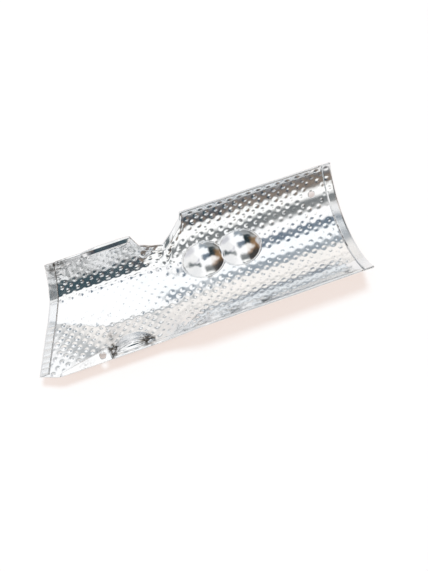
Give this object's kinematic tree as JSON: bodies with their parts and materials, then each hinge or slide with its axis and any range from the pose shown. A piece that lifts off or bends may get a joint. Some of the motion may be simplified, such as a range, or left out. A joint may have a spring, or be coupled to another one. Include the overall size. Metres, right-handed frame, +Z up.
{
  "type": "exhaust heat shield",
  "caption": "Trough-shaped shield pressed from dimpled aluminium sheet, with folded edges, domes and bolt holes; it bolts beside an exhaust pipe to hold back heat.",
  "frame": {"origin": "on the surface that the shield lies on, under the middle of its box", "axes": "+X along the trough towards its square end, +Y across it towards the notched lip, +Z up"},
  "size_m": [0.3354, 0.1168, 0.0396],
  "materials": {
    "embossed_aluminium": "bright rolled sheet, dimple embossed"
  },
  "bodies": {
    "root": {"heat_shield": "embossed_aluminium"}
  },
  "joints": []
}
